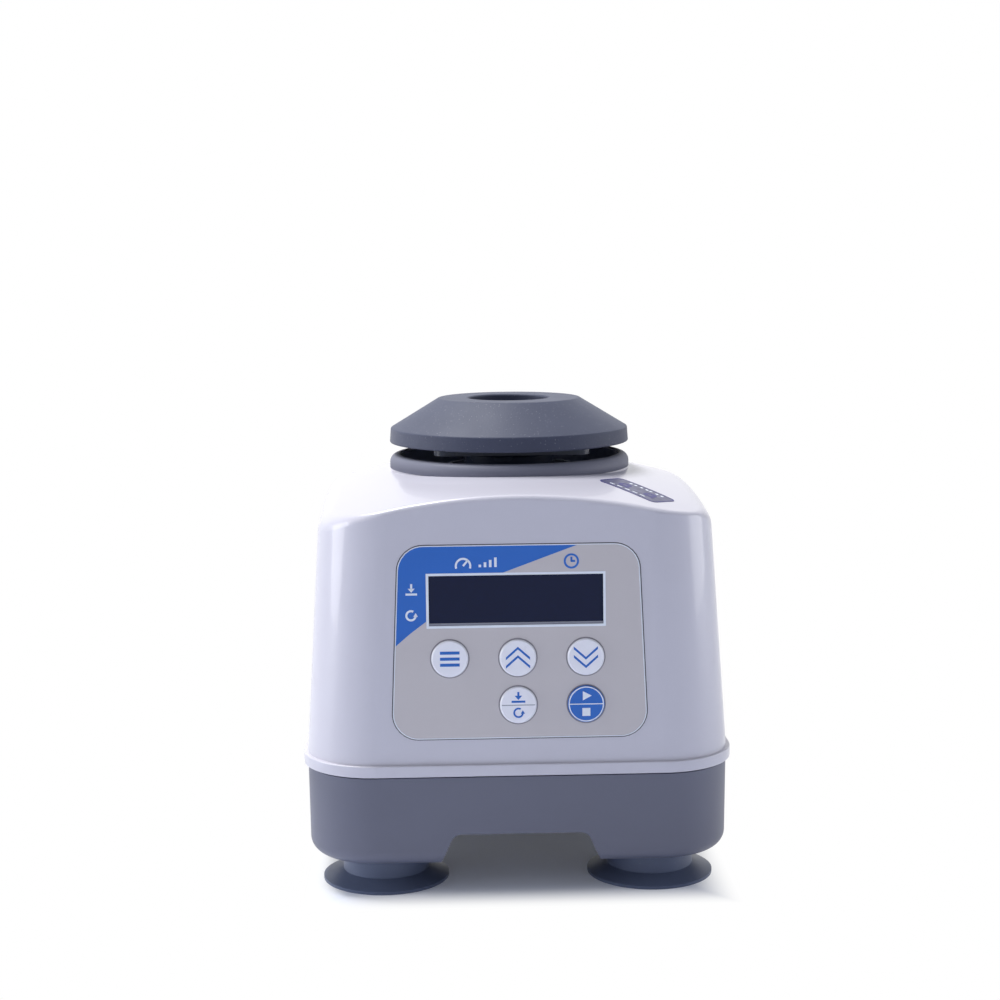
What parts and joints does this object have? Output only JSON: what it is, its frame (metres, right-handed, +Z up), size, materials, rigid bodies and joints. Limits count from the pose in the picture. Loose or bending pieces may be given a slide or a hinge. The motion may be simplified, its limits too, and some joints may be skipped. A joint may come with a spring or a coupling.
{
  "type": "vortex mixer",
  "caption": "Bench vortex mixer with a round rubber cup head on a domed square casing, a key panel with a display and suction cup feet.",
  "frame": {"origin": "on the bench, below the middle of the base", "axes": "+Z up, +X to the right seen from the front, +Y to the back"},
  "size_m": [0.1536, 0.1536, 0.1697],
  "materials": {
    "casing_plastic": "satin moulded plastic, light grey",
    "base_paint": "satin slate grey enamel",
    "head_rubber": "matte moulded rubber",
    "foot_rubber": "smooth dark rubber",
    "black_rubber": "matte rubber",
    "spring_elastomer": "cast elastomer",
    "panel_film": "printed film, silver grey and blue",
    "display_tint": "dark tinted window",
    "key_white": "satin light key",
    "key_blue": "satin blue key",
    "black_plastic": "fine textured plastic",
    "rocker_black": "gloss plastic",
    "white_plastic": "bearing plastic",
    "carrier_plastic": "moulded plastic",
    "circuit_board": "green laminate",
    "wire_cover": "cable sleeve",
    "steel": "turned steel",
    "zinc_steel": "zinc plated steel",
    "aluminium": "milled aluminium",
    "brass": "turned brass",
    "winding_copper": "copper windings on a steel core",
    "magnet_dark": "coated magnet"
  },
  "bodies": {
    "housing": {"lower_housing": "base_paint", "upper_housing": "casing_plastic", "seam_gasket": "black_rubber", "suction_cups": "foot_rubber", "foot_screws": "steel", "casing_screws": "steel", "panel_overlay": "panel_film", "display_lens": "display_tint", "display_digits": "black_plastic", "front_board": "circuit_board", "front_board_screws": "steel", "key_switches": "black_plastic", "rear_panel": "black_plastic", "rear_panel_screws": "steel", "power_jack": "black_plastic", "power_switch": "black_plastic", "guide_posts": "steel", "guide_post_screws": "steel", "stop_collars": "brass", "stop_screws": "steel", "press_sensor": "black_plastic", "sensor_bracket": "aluminium", "ballast_plate": "steel", "ballast_screws": "steel", "main_board": "circuit_board", "board_standoffs": "brass", "main_board_screws": "steel", "board_parts": "black_plastic", "heat_sink": "aluminium", "power_lead": "wire_cover", "motor_lead": "wire_cover", "return_springs": "spring_elastomer"},
    "carriage": {"motor_plate": "aluminium", "guide_bushes": "white_plastic", "motor_can": "zinc_steel", "motor_end_cap": "aluminium", "motor_bearings": "steel", "motor_stator": "winding_copper", "motor_screws": "steel", "press_flag": "steel", "flex_posts": "black_rubber"},
    "rotor": {"motor_shaft": "steel", "rotor_magnet": "magnet_dark", "eccentric_hub": "steel", "hub_set_screw": "steel", "counterweight": "zinc_steel", "crank_inner_races": "steel", "crank_screw": "steel"},
    "head": {"rubber_head": "head_rubber", "head_carrier": "carrier_plastic", "orbit_plate": "aluminium", "orbit_plate_screws": "steel", "crank_outer_races": "steel"},
    "key_menu": {"key_menu": "key_white"},
    "key_up": {"key_up": "key_white"},
    "key_down": {"key_down": "key_white"},
    "key_touch": {"key_touch": "key_white"},
    "key_start": {"key_start": "key_blue"},
    "rocker": {"power_rocker": "rocker_black"}
  },
  "joints": [
    {"name": "carriage_press", "type": "slide", "parent": "housing", "child": "carriage", "axis": [0, 0, -1], "range_m": [0, 0.002], "stiffness_N_per_m": 4000, "springref_m": -0.005, "deforming": ["return_springs", "motor_lead"]},
    {"name": "rotor_spin", "type": "hinge", "parent": "carriage", "child": "rotor", "pos_m": [0, 0, 0.1], "axis": [0, 0, 1], "continuous": true},
    {"name": "head_orbit", "type": "hinge", "parent": "rotor", "child": "head", "pos_m": [0, 0.002, 0.14], "axis": [0, 0, 1], "continuous": true},
    {"name": "key_menu_press", "type": "slide", "parent": "housing", "child": "key_menu", "axis": [0, 0.9981, -0.0619], "range_m": [0, 0.0004], "stiffness_N_per_m": 1500, "springref_m": -0.0005},
    {"name": "key_up_press", "type": "slide", "parent": "housing", "child": "key_up", "axis": [0, 0.9981, -0.0619], "range_m": [0, 0.0004], "stiffness_N_per_m": 1500, "springref_m": -0.0005},
    {"name": "key_down_press", "type": "slide", "parent": "housing", "child": "key_down", "axis": [0, 0.9981, -0.0619], "range_m": [0, 0.0004], "stiffness_N_per_m": 1500, "springref_m": -0.0005},
    {"name": "key_touch_press", "type": "slide", "parent": "housing", "child": "key_touch", "axis": [0, 0.9981, -0.0619], "range_m": [0, 0.0004], "stiffness_N_per_m": 1500, "springref_m": -0.0005},
    {"name": "key_start_press", "type": "slide", "parent": "housing", "child": "key_start", "axis": [0, 0.9981, -0.0619], "range_m": [0, 0.0004], "stiffness_N_per_m": 1500, "springref_m": -0.0005},
    {"name": "rocker_tip", "type": "hinge", "parent": "housing", "child": "rocker", "pos_m": [-0.026, 0.06905, 0.06568], "axis": [0, -0.0619, 0.9981], "range_deg": [0, 14]}
  ],
  "couplings": [
    {"joint": "head_orbit", "follows": "rotor_spin", "ratio": -1}
  ]
}
